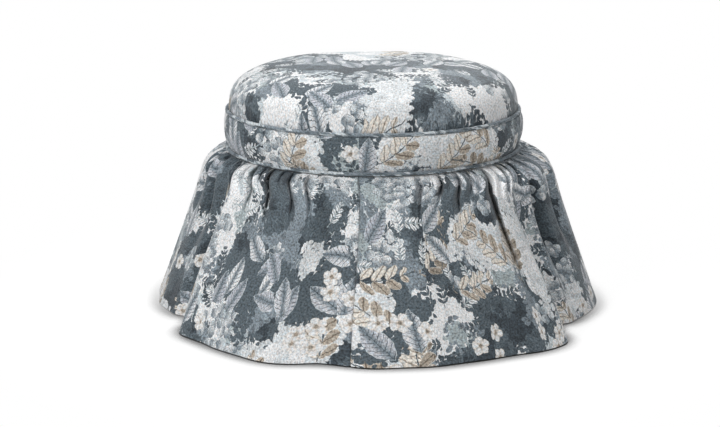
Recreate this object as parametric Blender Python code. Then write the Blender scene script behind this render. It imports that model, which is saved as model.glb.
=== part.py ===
"""Round skirted storage ottoman: a boxed cushion lid that lifts off a lined drum with a gathered skirt.

Metres, +Z up. The origin is on the floor, on the drum's axis, and the front of the ottoman faces -Y.
Angles round the drum are measured from the front, positive towards +X.
"""

import math

import bmesh
import bpy
from mathutils import Matrix

# Driving dimensions, in metres and degrees

# Clearances
FIT = 0.0003  # between pieces that touch
SKIRT_EASE = 0.0006  # between the skirt's heading and the tacking strip
MOUTH_CLEARANCE = 0.0035  # between the locating blocks and the drum's mouth
SCREW_CLEARANCE = 0.0003  # round a screw's shank and head

# Drum
DRUM_RADIUS = 0.2575  # base board and rim ring
DRUM_HEIGHT = 0.2542  # underside of the base board to the top of the rim ring
BASE_BOARD = 0.015
RIM_THICKNESS = 0.017
RIM_WIDTH = 0.035
RIM_LINING = 0.0007
WALL = 0.0035
WALL_PANELS = 3
UPRIGHTS = 6
UPRIGHT_WIDTH = 0.040
UPRIGHT_SETBACK = 0.0015  # outer face of an upright inside the drum's radius
HOUSING_DEPTH = 0.003
LINER = 0.0025
WALL_WADDING = 0.004
UNDER_COVER = 0.001
UNDER_COVER_DROP = 0.0022  # how far the under cover hangs below the base board
TACKING_STRIP = 0.0022
TACKING_STRIP_HEIGHT = 0.012

# Feet
FEET = 4
FOOT_CIRCLE = 0.190
FOOT_HEIGHT = 0.0286
FOOT_TOP_RADIUS = 0.032
FOOT_BASE_RADIUS = 0.026
GLIDE_HEIGHT = 0.006
GLIDE_RADIUS = 0.022
GLIDE_EDGE = 0.0015
DUST_COVER = 0.0008
DUST_COVER_MARGIN = 0.003

# Screws
SCREW_SHANK = 0.0022
SCREW_HEAD = 0.0044
SCREW_HEAD_HEIGHT = 0.0028
SCREW_BITE = 0.012  # length of shank held in the second piece
HOLE_END = 0.0006  # a blind hole runs this far past the screw's point
HOLE_MOUTH = 0.014  # a screw's cutter reaches this far out from its head
FOOT_RECESS = 0.013  # a foot screw's head sits this far up inside its foot
BLOCK_RECESS = 0.006

# Lid
LID_BOARD = 0.015
LID_OVERHANG = 0.0008  # lower welt's centre outside the skirt's heading
WELT_RADIUS = 0.0034
BAND_HEIGHT = 0.068
BAND_BULGE = 0.0065
BAND_FOOT_INSET = 0.002
BAND_TOP_SPREAD = 0.0015
BAND_TURN_UNDER = 0.030
UPPER_WELT_INSET = 0.0013
COVER = 0.002
LID_WADDING = 0.006
CROWN_HEIGHT = 0.0875
CROWN_POWER = 3.3  # 2 is an ellipse; more makes squarer shoulders
UNDERLINING = 0.001
UNDERLINING_MARGIN = 0.020
LOCATING_BLOCKS = 4
BLOCK_WIDTH = 0.019
BLOCK_HEIGHT = 0.018
BLOCK_ARC = 50.0

# Skirt
SKIRT_CLOTH = 0.003
HEM_CLEARANCE = 0.004
HEM_RADIUS = 0.432
HEM_SIDE_DRAW = 0.014  # the hem is this much nearer the axis at the sides
SHOULDER = 0.038  # gathers stand this far out just below the heading
FLAT_SHOULDER = 0.3  # share of that where the cloth isn't gathered
PLEAT_DEPTH = 0.0085
PANELS = 4
PLEATS_IN_PANEL = 8
SEAM_ANGLE = -5.0
FLAT_START = -14.0  # ungathered stretch of the heading, from here
FLAT_END = 18.0  # to here, and again in each panel
SEAM_GAP = 0.0004
# Folds of the hem: angle, half width in degrees, depth at the hem; a ridge has a depth below zero
HEM_FOLDS = (
    (-61, 4.5, 0.066),
    (-40, 9, 0.008),
    (-23, 8, -0.014),
    (-11, 6, 0.016),
    (46, 7, -0.020),
    (57, 4.5, 0.076),
    (84, 14, -0.010),
    (121, 7, 0.060),
    (148, 9, -0.012),
    (166, 8, 0.018),
    (196, 9, -0.010),
    (212, 8, 0.020),
    (239, 7, 0.060),
)
SKIRT_LEVELS = (0.0, 0.05, 0.14, 0.32, 0.62, 1.0)  # shares of the drop, heading to hem

# Facets
LATHE_STEPS = 36
SMALL_STEPS = 16
SCREW_STEPS = 8
WELT_STEPS = 6
CROWN_POINTS = 6
BAND_POINTS = 3
FLAT_STEP = 4.0  # degrees between skirt sections where it isn't gathered

# Heights, stacked up from the floor
FOOT_Z = GLIDE_HEIGHT + FIT
FOOT_TOP_Z = FOOT_Z + FOOT_HEIGHT
DUST_COVER_Z = FOOT_TOP_Z + FIT
BASE_Z = DUST_COVER_Z + DUST_COVER + FIT
BASE_TOP_Z = BASE_Z + BASE_BOARD
LINER_FLOOR_Z = BASE_TOP_Z + FIT
RIM_TOP_Z = BASE_Z + DRUM_HEIGHT
RIM_Z = RIM_TOP_Z - RIM_THICKNESS
SPLIT_Z = RIM_TOP_Z + FIT + RIM_LINING
UNDERLINING_Z = SPLIT_Z + FIT
TURN_UNDER_Z = UNDERLINING_Z + UNDERLINING + FIT
LID_BOARD_Z = TURN_UNDER_Z + COVER + FIT
LID_BOARD_TOP_Z = LID_BOARD_Z + LID_BOARD
LOWER_WELT_Z = UNDERLINING_Z + FIT + WELT_RADIUS
BAND_FOOT_Z = LOWER_WELT_Z + WELT_RADIUS + FIT
BAND_TOP_Z = UNDERLINING_Z + BAND_HEIGHT
UPPER_WELT_Z = BAND_TOP_Z + FIT + WELT_RADIUS
TOP_Z = UPPER_WELT_Z + CROWN_HEIGHT

# Radii, stacked out from the mouth of the drum
MOUTH_RADIUS = DRUM_RADIUS - RIM_WIDTH
LINER_RADIUS = MOUTH_RADIUS + LINER
WALL_INNER = DRUM_RADIUS + FIT
WADDING_INNER = WALL_INNER + WALL + FIT
UNDER_COVER_INNER = WADDING_INNER + WALL_WADDING + FIT
STRIP_INNER = UNDER_COVER_INNER + UNDER_COVER + FIT
HEADING_INNER = STRIP_INNER + TACKING_STRIP + SKIRT_EASE
LOWER_WELT_RADIUS = HEADING_INNER + SKIRT_CLOTH + LID_OVERHANG
UPPER_WELT_RADIUS = LOWER_WELT_RADIUS - UPPER_WELT_INSET
BAND_EDGE_RADIUS = LOWER_WELT_RADIUS - WELT_RADIUS - FIT
BAND_FOOT_RADIUS = LOWER_WELT_RADIUS - BAND_FOOT_INSET
BAND_TOP_RADIUS = LOWER_WELT_RADIUS + BAND_TOP_SPREAD
CROWN_RADIUS = UPPER_WELT_RADIUS - WELT_RADIUS - FIT
LID_BOARD_RADIUS = BAND_EDGE_RADIUS - COVER - FIT
BLOCK_OUTER = MOUTH_RADIUS - MOUTH_CLEARANCE
SCREW_HOLE = SCREW_SHANK + SCREW_CLEARANCE
HEAD_HOLE = SCREW_HEAD + SCREW_CLEARANCE


# Materials


def finish(name, colour, roughness, metallic=0.0):
    """A plain Principled material, made once for each name."""
    material = bpy.data.materials.get(name) or bpy.data.materials.new(name)
    material.use_nodes = True
    shader = material.node_tree.nodes["Principled BSDF"]
    shader.inputs["Base Color"].default_value = (*colour, 1.0)
    shader.inputs["Roughness"].default_value = roughness
    shader.inputs["Metallic"].default_value = metallic
    return material


def make_finishes():
    return {
        "tapestry": finish("tapestry", (0.30, 0.34, 0.36), 0.9),
        "welt": finish("welt", (0.22, 0.26, 0.29), 0.9),
        "lining": finish("lining", (0.62, 0.58, 0.50), 0.95),
        "wadding": finish("wadding", (0.86, 0.86, 0.84), 1.0),
        "foam": finish("foam", (0.86, 0.80, 0.62), 1.0),
        "plywood": finish("plywood", (0.66, 0.50, 0.33), 0.7),
        "hardboard": finish("hardboard", (0.36, 0.24, 0.15), 0.75),
        "card": finish("card", (0.55, 0.46, 0.35), 0.9),
        "dust_cloth": finish("dust_cloth", (0.03, 0.03, 0.03), 0.95),
        "foot_wood": finish("foot_wood", (0.16, 0.10, 0.06), 0.55),
        "glide_plastic": finish("glide_plastic", (0.05, 0.05, 0.05), 0.5),
        "steel": finish("steel", (0.60, 0.60, 0.58), 0.35, 1.0),
    }


# Shapes


def polar(radius, angle, z):
    """The point at this radius, height and angle in degrees from the front."""
    turn = math.radians(angle)
    return radius * math.sin(turn), -radius * math.cos(turn), z


def add_object(name, bm, material, smooth_angle=40):
    """Links the mesh as a named object, its faces outward, shaded smooth up to smooth_angle degrees."""
    bmesh.ops.remove_doubles(bm, verts=bm.verts, dist=1e-6)
    bmesh.ops.recalc_face_normals(bm, faces=bm.faces)
    mesh = bpy.data.meshes.new(name)
    bm.to_mesh(mesh)
    bm.free()
    mesh.shade_smooth()
    mesh.set_sharp_from_angle(angle=math.radians(smooth_angle))
    mesh.materials.append(material)
    obj = bpy.data.objects.new(name, mesh)
    bpy.context.scene.collection.objects.link(obj)
    return obj


def lathe(name, outline, material, steps=LATHE_STEPS):
    """A solid turned about Z from a closed outline of (radius, height) points."""
    bm = bmesh.new()
    points = [bm.verts.new((radius, 0, z)) for radius, z in outline]
    edges = [bm.edges.new((points[i - 1], points[i])) for i in range(len(points))]
    bmesh.ops.spin(
        bm,
        geom=points + edges,
        cent=(0, 0, 0),
        axis=(0, 0, 1),
        angle=math.tau,
        steps=steps,
        use_merge=True,
    )
    bmesh.ops.remove_doubles(bm, verts=bm.verts, dist=1e-6)
    bmesh.ops.dissolve_degenerate(bm, edges=bm.edges, dist=1e-6)
    on_axis = [e for e in bm.edges if not e.link_faces]
    bmesh.ops.delete(bm, geom=on_axis, context="EDGES")
    return add_object(name, bm, material)


def loft(name, sections, material, smooth_angle=60):
    """A solid through closed sections of equal point count, capped by the first and the last."""
    bm = bmesh.new()
    rings = [[bm.verts.new(point) for point in section] for section in sections]
    count = len(rings[0])
    for near, far in zip(rings, rings[1:]):
        for i in range(count):
            bm.faces.new((near[i - 1], near[i], far[i], far[i - 1]))
    bm.faces.new(rings[0])
    bm.faces.new(rings[-1])
    return add_object(name, bm, material, smooth_angle)


def sector(name, outline, material, start, end, steps):
    """A solid turned from an outline of (radius, height) points between two angles."""
    angles = [start + (end - start) * i / steps for i in range(steps + 1)]
    sections = [[polar(r, angle, z) for r, z in outline] for angle in angles]
    return loft(name, sections, material)


def hoop(inner, outer, low, high):
    """The outline of a plain ring."""
    return [(inner, low), (outer, low), (outer, high), (inner, high)]


def disc(radius, low, high):
    """The outline of a plain disc, which reaches the axis."""
    return [(0, low), (radius, low), (radius, high), (0, high)]


def put(obj, radius, angle, z=0.0):
    """Places an object made on the axis at a radius and angle, turned to face outward."""
    obj.location = polar(radius, angle, z)
    obj.rotation_euler = (0, 0, math.radians(angle))
    return obj


def copy_of(obj, name):
    twin = bpy.data.objects.new(name, obj.data)
    bpy.context.scene.collection.objects.link(twin)
    return twin


def ring_of(make, stem, count, radius, z=0.0, start=0.0):
    """Makes a piece once and places numbered copies of it, evenly round the drum."""
    first = make(f"{stem}_1")
    pieces = [first] + [copy_of(first, f"{stem}_{i + 1}") for i in range(1, count)]
    for i, piece in enumerate(pieces):
        put(piece, radius, start + i * 360 / count, z)
    return pieces


def cut(obj, cutter):
    """Takes the cutter out of the object, and leaves the cutter as a hidden guide."""
    cutter.hide_render = True
    cutter.display_type = "WIRE"
    modifier = obj.modifiers.new("cut_" + cutter.name, "BOOLEAN")
    modifier.operation = "DIFFERENCE"
    modifier.object = cutter


def cutter_ring(name, outline, count, radius, start, material, steps=SCREW_STEPS):
    """One guide mesh with a turned cutter at each of several places round the drum."""
    bm = bmesh.new()
    for i in range(count):
        x, y, _ = polar(radius, start + i * 360 / count, 0)
        single = lathe(f"{name}_{i}", outline, material, steps)
        mesh = single.data
        mesh.transform(Matrix.Translation((x, y, 0)))
        bm.from_mesh(mesh)
        bpy.data.objects.remove(single)
    return add_object(name, bm, material)


# Screws


def screw_outline(head_z, tip_z):
    """A countersunk screw between its head's flat face and its point."""
    way = 1 if tip_z > head_z else -1
    neck = head_z + way * SCREW_HEAD_HEIGHT
    taper = tip_z - way * 2 * SCREW_SHANK
    return [(0, head_z), (SCREW_HEAD, head_z), (SCREW_SHANK, neck), (SCREW_SHANK, taper), (0, tip_z)]


def hole_outline(head_z, tip_z):
    """The hole such a screw needs: open at the head's side, countersunk, and on past the point."""
    way = 1 if tip_z > head_z else -1
    mouth = head_z - way * HOLE_MOUTH
    neck = head_z + way * (SCREW_HEAD_HEIGHT + SCREW_CLEARANCE)
    end = tip_z + way * HOLE_END
    head = [(0, mouth), (HEAD_HOLE, mouth), (HEAD_HOLE, head_z)]
    return head + [(SCREW_HOLE, neck), (SCREW_HOLE, end), (0, end)]


def drive_screws(stem, head_z, tip_z, count, radius, start, material):
    """Puts a ring of screws in, and gives the cutter that makes their holes."""
    outline = screw_outline(head_z, tip_z)
    ring_of(lambda n: lathe(n, outline, material, SCREW_STEPS), stem, count, radius, 0, start)
    return cutter_ring(stem + "_holes", hole_outline(head_z, tip_z), count, radius, start, material)


# Drum


def make_base_board(looks, foot_holes):
    board = lathe("base_board", disc(DRUM_RADIUS, BASE_Z, BASE_TOP_Z), looks["plywood"])
    cut(board, foot_holes)
    housing_z = BASE_TOP_Z - HOUSING_DEPTH
    housings = ring_of(
        lambda name: upright_block(name, housing_z, BASE_TOP_Z + BASE_BOARD, FIT, looks["plywood"]),
        "housing",
        UPRIGHTS,
        upright_radius(),
    )
    for housing in housings:
        cut(board, housing)


def upright_depth():
    """Radial depth of an upright, between the liner and the wall."""
    return DRUM_RADIUS - UPRIGHT_SETBACK - LINER_RADIUS - FIT


def upright_radius():
    """Radius of an upright's centre."""
    return LINER_RADIUS + FIT + upright_depth() / 2


def upright_block(name, low, high, grow, material):
    """A rectangular post on the axis, its width across and its depth along Y, grown by a clearance."""
    half_width = UPRIGHT_WIDTH / 2 + grow
    half_depth = upright_depth() / 2 + grow
    corners = ((-half_width, -half_depth), (half_width, -half_depth))
    corners += ((half_width, half_depth), (-half_width, half_depth))
    return loft(name, [[(x, y, z) for x, y in corners] for z in (low, high)], material, 30)


def make_uprights(looks, rim_holes):
    low = BASE_TOP_Z - HOUSING_DEPTH + FIT
    posts = ring_of(
        lambda name: upright_block(name, low, RIM_Z - FIT, 0, looks["plywood"]),
        "upright",
        UPRIGHTS,
        upright_radius(),
    )
    for post in posts:
        cut(post, rim_holes)


def make_rim(looks, rim_holes):
    rim = lathe("rim_ring", hoop(MOUTH_RADIUS, DRUM_RADIUS, RIM_Z, RIM_TOP_Z), looks["plywood"])
    cut(rim, rim_holes)
    lining_z = RIM_TOP_Z + FIT
    lathe("rim_lining", hoop(MOUTH_RADIUS, DRUM_RADIUS, lining_z, SPLIT_Z), looks["lining"])


def make_wall(looks):
    """Bent panels that meet on uprights, and the soft layers wrapped round them."""
    gap = math.degrees(FIT / WALL_INNER)
    arc = 360 / WALL_PANELS
    panel = hoop(WALL_INNER, WALL_INNER + WALL, BASE_Z, RIM_TOP_Z)
    for i in range(WALL_PANELS):
        start = i * arc
        steps = LATHE_STEPS // WALL_PANELS
        sector(f"wall_panel_{i + 1}", panel, looks["hardboard"], start + gap, start + arc - gap, steps)
    strip_z = RIM_TOP_Z - TACKING_STRIP_HEIGHT
    under_z = BASE_Z - UNDER_COVER_DROP
    layers = (
        ("wall_wadding", WADDING_INNER, WALL_WADDING, BASE_Z, "wadding"),
        ("under_cover", UNDER_COVER_INNER, UNDER_COVER, under_z, "lining"),
        ("tacking_strip", STRIP_INNER, TACKING_STRIP, strip_z, "card"),
    )
    for name, inner, thickness, low, look in layers:
        lathe(name, hoop(inner, inner + thickness, low, RIM_TOP_Z), looks[look])


def make_liner(looks):
    wall = hoop(MOUTH_RADIUS, LINER_RADIUS, LINER_FLOOR_Z, RIM_Z - FIT)
    lathe("liner_wall", wall, looks["lining"])
    lathe("liner_floor", disc(MOUTH_RADIUS - FIT, LINER_FLOOR_Z, LINER_FLOOR_Z + LINER), looks["lining"])


# Feet


def make_feet(looks, head_z, start):
    recess_z = head_z + SCREW_HEAD_HEIGHT + SCREW_CLEARANCE
    foot = [
        (HEAD_HOLE, FOOT_Z),
        (FOOT_BASE_RADIUS, FOOT_Z),
        (FOOT_TOP_RADIUS, FOOT_TOP_Z),
        (SCREW_HOLE, FOOT_TOP_Z),
        (SCREW_HOLE, recess_z),
        (HEAD_HOLE, head_z),
    ]
    glide = [
        (0, 0),
        (GLIDE_RADIUS - GLIDE_EDGE, 0),
        (GLIDE_RADIUS, GLIDE_EDGE),
        (GLIDE_RADIUS, GLIDE_HEIGHT),
        (0, GLIDE_HEIGHT),
    ]
    ring_of(lambda n: lathe(n, foot, looks["foot_wood"], SMALL_STEPS), "foot", FEET, FOOT_CIRCLE, 0, start)
    ring_of(lambda n: lathe(n, glide, looks["glide_plastic"], SMALL_STEPS), "glide", FEET, FOOT_CIRCLE, 0, start)


def make_dust_cover(looks, foot_holes):
    radius = DRUM_RADIUS - DUST_COVER_MARGIN
    cover = lathe("dust_cover", disc(radius, DUST_COVER_Z, DUST_COVER_Z + DUST_COVER), looks["dust_cloth"])
    cut(cover, foot_holes)


# Lid


def crown(inset):
    """The cushion's rounded top, from the upper welt to the middle, moved in by inset."""
    points = []
    for i in range(CROWN_POINTS + 1):
        turn = math.pi / 2 * i / CROWN_POINTS
        across = math.cos(turn) ** (2 / CROWN_POWER) if i < CROWN_POINTS else 0.0
        up = math.sin(turn) ** (2 / CROWN_POWER)
        points.append(((CROWN_RADIUS - inset) * across, UPPER_WELT_Z + (CROWN_HEIGHT - inset) * up))
    return points


def band_heights():
    """Heights where the band's side is drawn; the cushion inside it uses the ones from the board's top."""
    low, high = LID_BOARD_TOP_Z + FIT, BAND_TOP_Z - WELT_RADIUS / 2
    between = [low + (high - low) * i / BAND_POINTS for i in range(BAND_POINTS + 1)]
    return [BAND_FOOT_Z] + between + [BAND_TOP_Z]


def band_side(inset, heights):
    """The band's full, slightly bulging side at these heights, moved in by inset."""
    points = []
    for z in heights:
        share = (z - BAND_FOOT_Z) / (BAND_TOP_Z - BAND_FOOT_Z)
        radius = BAND_FOOT_RADIUS + (BAND_TOP_RADIUS - BAND_FOOT_RADIUS) * share
        points.append((radius + BAND_BULGE * 4 * share * (1 - share) - inset, z))
    return points


def cushion_side(inset):
    """The cushion inside its cover, from the lid board's top up the band and over the crown."""
    return band_side(inset, band_heights()[1:-1]) + crown(inset)


def make_cushion(looks):
    wadding_in = COVER + FIT
    foam_in = wadding_in + LID_WADDING + FIT
    outer, inner = cushion_side(wadding_in), cushion_side(foam_in - FIT)
    lathe("lid_wadding", outer + inner[::-1], looks["wadding"])
    foam = cushion_side(foam_in)
    lathe("lid_foam", [(0, foam[0][1])] + foam, looks["foam"])


def make_lid_cover(looks):
    lathe("top_cover", crown(0) + crown(COVER)[::-1], looks["tapestry"])
    outer = band_side(0, band_heights())
    inner = band_side(COVER, band_heights()[1:])
    edge_in = BAND_EDGE_RADIUS - COVER
    flange_in = BAND_EDGE_RADIUS - BAND_TURN_UNDER
    flange_top = TURN_UNDER_Z + COVER
    flange = [(edge_in, flange_top), (flange_in, flange_top), (flange_in, TURN_UNDER_Z)]
    flange += [(BAND_EDGE_RADIUS, TURN_UNDER_Z), (BAND_EDGE_RADIUS, BAND_FOOT_Z)]
    corner = [(edge_in, BAND_FOOT_Z + COVER)]
    lathe("band_cover", outer + inner[::-1] + corner + flange, looks["tapestry"])


def make_welts(looks):
    rings = (
        ("upper_welt", UPPER_WELT_RADIUS, UPPER_WELT_Z),
        ("lower_welt", LOWER_WELT_RADIUS, LOWER_WELT_Z),
    )
    for name, radius, z in rings:
        turns = [math.tau * (i + 0.5) / WELT_STEPS for i in range(WELT_STEPS)]
        cord = [(radius + WELT_RADIUS * math.cos(t), z + WELT_RADIUS * math.sin(t)) for t in turns]
        lathe(name, cord, looks["welt"])


def make_lid_board(looks, block_holes):
    board = lathe("lid_board", disc(LID_BOARD_RADIUS, LID_BOARD_Z, LID_BOARD_TOP_Z), looks["plywood"])
    lining_radius = LID_BOARD_RADIUS - UNDERLINING_MARGIN
    lining_top = UNDERLINING_Z + UNDERLINING
    lining = lathe("lid_underlining", disc(lining_radius, UNDERLINING_Z, lining_top), looks["lining"])
    cut(board, block_holes)
    cut(lining, block_holes)


def block_radius():
    """Radius of the middle of the locating blocks."""
    return BLOCK_OUTER - BLOCK_WIDTH / 2


def make_locating_blocks(looks, block_holes):
    """Curved wooden blocks under the lid that keep it central on the drum's mouth."""
    low = SPLIT_Z - BLOCK_HEIGHT
    outline = hoop(BLOCK_OUTER - BLOCK_WIDTH, BLOCK_OUTER, low, SPLIT_Z)
    for i in range(LOCATING_BLOCKS):
        middle = i * 360 / LOCATING_BLOCKS
        name = f"locating_block_{i + 1}"
        steps = round(BLOCK_ARC / 360 * LATHE_STEPS)
        block = sector(name, outline, looks["plywood"], middle - BLOCK_ARC / 2, middle + BLOCK_ARC / 2, steps)
        cut(block, block_holes)


# Skirt


def smooth_step(value):
    value = min(max(value, 0.0), 1.0)
    return value * value * (3 - 2 * value)


def fold_depth(angle):
    """How far the deep folds draw the hem in at this angle."""
    depth = 0.0
    for middle, half_width, deep in HEM_FOLDS:
        away = (angle - middle + 180) % 360 - 180
        depth += deep * math.exp(-((away / half_width) ** 2))
    return depth


def pleat_wave(angle):
    """1 on a gather's ridge, -1 in its tuck, and no wave along the flat stretches."""
    arc = 360 / PANELS
    along = (angle - FLAT_END) % arc
    gathered = arc - (FLAT_END - FLAT_START)
    if along >= gathered:
        return 0.0, 0.0
    edge = min(along, gathered - along) / (gathered / PLEATS_IN_PANEL)
    weight = smooth_step(edge * 2)
    return -math.cos(math.tau * along / (gathered / PLEATS_IN_PANEL)) * weight, weight


def skirt_radius(angle, share):
    """Radius of the cloth's middle at an angle, share of the way from heading to hem."""
    heading = HEADING_INNER + SKIRT_CLOTH / 2
    hem = HEM_RADIUS - HEM_SIDE_DRAW * math.sin(math.radians(angle)) ** 2
    wave, gathered = pleat_wave(angle)
    open_out = 1 - math.exp(-share / 0.045)
    fullness = max(gathered, math.sin(math.radians(angle)) ** 2, FLAT_SHOULDER)
    shoulder = SHOULDER * fullness * open_out * (1 - share)
    pleat = PLEAT_DEPTH * wave * open_out * (1 - smooth_step(share / 0.75))
    return heading + (hem - heading) * share + shoulder + pleat - fold_depth(angle) * share**0.8


def skirt_angles(panel):
    """Angles of a panel's sections: every few degrees where flat, quarter pleats where gathered."""
    arc = 360 / PANELS
    gap = math.degrees(SEAM_GAP / 2 / HEADING_INNER)
    start = SEAM_ANGLE + panel * arc
    gather_start = FLAT_END + panel * arc
    gather_end = FLAT_START + (panel + 1) * arc
    end = start + arc

    def spread(low, high, count):
        return [low + (high - low) * i / count for i in range(count)]

    angles = spread(start + gap, gather_start, math.ceil((gather_start - start) / FLAT_STEP))
    angles += spread(gather_start, gather_end, 4 * PLEATS_IN_PANEL)
    angles += spread(gather_end, end - gap, math.ceil((end - gather_end) / FLAT_STEP))
    return angles + [end - gap]


def make_skirt(looks):
    top = SPLIT_Z - FIT
    for panel in range(PANELS):
        sections = []
        for angle in skirt_angles(panel):
            line = [(skirt_radius(angle, s), top - (top - HEM_CLEARANCE) * s) for s in SKIRT_LEVELS]
            outer = [polar(r + SKIRT_CLOTH / 2, angle, z) for r, z in line]
            inner = [polar(r - SKIRT_CLOTH / 2, angle, z) for r, z in line]
            sections.append(outer + inner[::-1])
        loft(f"skirt_panel_{panel + 1}", sections, looks["tapestry"])


def main():
    for obj in list(bpy.data.objects):
        bpy.data.objects.remove(obj)
    looks = make_finishes()

    foot_start = 360 / FEET / 2
    foot_head = FOOT_Z + FOOT_RECESS
    foot_tip = BASE_Z + SCREW_BITE
    foot_holes = drive_screws("foot_screw", foot_head, foot_tip, FEET, FOOT_CIRCLE, foot_start, looks["steel"])
    rim_tip = RIM_Z - FIT - SCREW_BITE
    rim_holes = drive_screws("rim_screw", RIM_TOP_Z, rim_tip, UPRIGHTS, upright_radius(), 0, looks["steel"])
    block_head = SPLIT_Z - BLOCK_HEIGHT + BLOCK_RECESS
    block_tip = LID_BOARD_Z + SCREW_BITE
    block_holes = drive_screws(
        "block_screw", block_head, block_tip, LOCATING_BLOCKS, block_radius(), 0, looks["steel"]
    )

    make_base_board(looks, foot_holes)
    make_uprights(looks, rim_holes)
    make_rim(looks, rim_holes)
    make_wall(looks)
    make_liner(looks)
    make_feet(looks, foot_head, foot_start)
    make_dust_cover(looks, foot_holes)
    make_cushion(looks)
    make_lid_cover(looks)
    make_welts(looks)
    make_lid_board(looks, block_holes)
    make_locating_blocks(looks, block_holes)
    make_skirt(looks)


main()
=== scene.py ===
"""Looks of a round skirted storage ottoman: cloth, cushion, linings, wood and light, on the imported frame.

Metres, +Z up. Angles round the drum are in degrees from the front, -Y, and positive towards +X.
"""

import math
from collections import namedtuple

import bpy
import numpy as np
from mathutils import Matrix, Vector


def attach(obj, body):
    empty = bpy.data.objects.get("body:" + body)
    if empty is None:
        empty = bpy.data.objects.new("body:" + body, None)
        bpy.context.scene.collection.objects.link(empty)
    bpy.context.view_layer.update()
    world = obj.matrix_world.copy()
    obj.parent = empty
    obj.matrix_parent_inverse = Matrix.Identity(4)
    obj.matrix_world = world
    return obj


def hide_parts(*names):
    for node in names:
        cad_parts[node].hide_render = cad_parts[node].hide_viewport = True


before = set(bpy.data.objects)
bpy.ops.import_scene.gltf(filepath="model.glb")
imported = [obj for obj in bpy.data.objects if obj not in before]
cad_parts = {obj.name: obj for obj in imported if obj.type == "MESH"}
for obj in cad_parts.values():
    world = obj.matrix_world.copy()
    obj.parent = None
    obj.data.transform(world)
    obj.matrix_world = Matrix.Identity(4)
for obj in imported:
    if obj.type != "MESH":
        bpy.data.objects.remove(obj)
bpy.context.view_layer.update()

Extent = namedtuple("Extent", "inner outer low high")


def extent(name):
    """Smallest and largest radius and height of a CAD node, rounded to a tenth of a millimetre."""
    x, y, z = np.array([corner.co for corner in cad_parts[name].data.vertices], float).T
    radius = np.hypot(x, y)
    return Extent(*(round(float(size), 4) for size in (radius.min(), radius.max(), z.min(), z.max())))


# Sizes of the CAD model that the cloth is fitted to
FIT = 0.0003  # between pieces that touch
RIM = extent("rim_ring")
SPLIT_Z = extent("rim_lining").high
TACKING_RADIUS = extent("tacking_strip").outer
UNDER_COVER = extent("under_cover")
DUST_COVER = extent("dust_cover")
UNDERLINING = extent("lid_underlining")
BAND_COVER = extent("band_cover")
TOP_COVER = extent("top_cover")
LOWER_WELT = extent("lower_welt")
UPPER_WELT = extent("upper_welt")
WELT_RADIUS = (LOWER_WELT.high - LOWER_WELT.low) / 2
LOWER_WELT_RADIUS = (LOWER_WELT.inner + LOWER_WELT.outer) / 2

# Skirt
PANELS = 4
PANEL_ARC = 360 / PANELS
SEAM_ANGLE = -5.0
SEAM_DEPTH = 0.0030
SEAM_WIDTH = 0.0020
SKIRT_CLOTH = 0.0022
CUT_WIDTH = 0.75
HEADING_RADIUS = TACKING_RADIUS + 0.0034
SKIRT_TOP_Z = SPLIT_Z - 0.0004
HEM_Z = 0.0025
HEM_RADIUS = 0.434
HEM_SIDE_DRAW = 0.014  # the hem is this much nearer the axis at the sides
HEM_DEPTH = 0.012
HEM_STEP = 0.0005  # how far the turned hem stands out, and its stitching lies in
FOLD_RISE = 0.8  # less makes the hem's folds run further up
SHOULDER = 0.038  # gathers stand this far out just below the heading
SHOULDER_OPENS = 0.04  # within about this share of the drop
FLAT_SHOULDER = 0.35  # share of the shoulder where the cloth isn't gathered
FLAT_MIDDLE = -3.0
FLAT_HALF = 12.0
FLAT_EDGE = 7.0
# Where the heading is fuller, or less so: angle, width in degrees, and by what share
UNEVEN_FULLNESS = ((80.0, 32.0, 0.30), (-86.0, 28.0, -0.13))
SKIRT_COLUMNS = 400
SKIRT_ROWS = 100
# Shares of the drop at which the cloth's run along a panel is measured
CLOTH_LEVELS = (0.06, 0.4, 1.0)

# Gathers: puffs of cloth that meet in tucks
WIDEST_PUFF = 9.0  # degrees
PUFF = 0.005  # how much further the gathers swell below the heading
PUFF_REACH = 0.22  # share of the drop over which that fades
PUFF_ROUND = 2.0  # more makes flatter puffs
TUCK = 1.7  # how many times its listed depth a tuck is drawn in
TUCK_ROOM = 0.97  # share of the way to the heading's radius that a tuck can take
TUCK_SOFTENS = 1.8  # a tuck is soft from this many times its length
SLANT = 150.0  # degrees that a tuck turns sideways for each metre it is deep
UPRIGHT = 5.0  # degrees that the gathers turn to hang upright
SOFT_WAVE = 0.0016  # unevenness of the cloth all round
# A deep tuck is narrowed to a slit, unless it runs on as a long fold
SLIT = 0.7  # degrees from its middle to its side
SLIT_FROM = 0.006  # depth of the tucks that begin to have one
SLIT_OVER = 0.016  # how much deeper those are that have it in full
SLIT_DEPTH = 1.5
SLIT_REACH = 0.15  # share of the drop
SLIT_SHARE = 0.6
LONG_FOLD = 0.3  # share of the drop

# Folds of the hem: angle, depth (or height, if less than 0), and how wide it is before and after that angle
HEM_FOLDS = (
    (-66.0, 0.026, 15.0, 6.0),
    (-60.5, 0.056, 5.0, 3.6),
    (-24.0, -0.011, 11.0, 7.0),
    (-12.0, 0.016, 4.5, 8.0),
    (47.5, -0.028, 13.0, 5.0),
    (55.8, 0.056, 2.8, 4.5),
    (64.0, 0.013, 6.0, 8.0),
    (84.0, -0.007, 10.0, 14.0),
    (121.0, 0.060, 7.0, 6.5),
    (148.0, -0.010, 10.0, 9.0),
    (166.0, 0.019, 8.0, 8.0),
    (196.0, -0.009, 10.0, 8.0),
    (212.0, 0.020, 7.0, 8.0),
    (239.0, 0.062, 8.0, 8.0),
    (268.0, 0.007, 12.0, 12.0),
)
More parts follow.
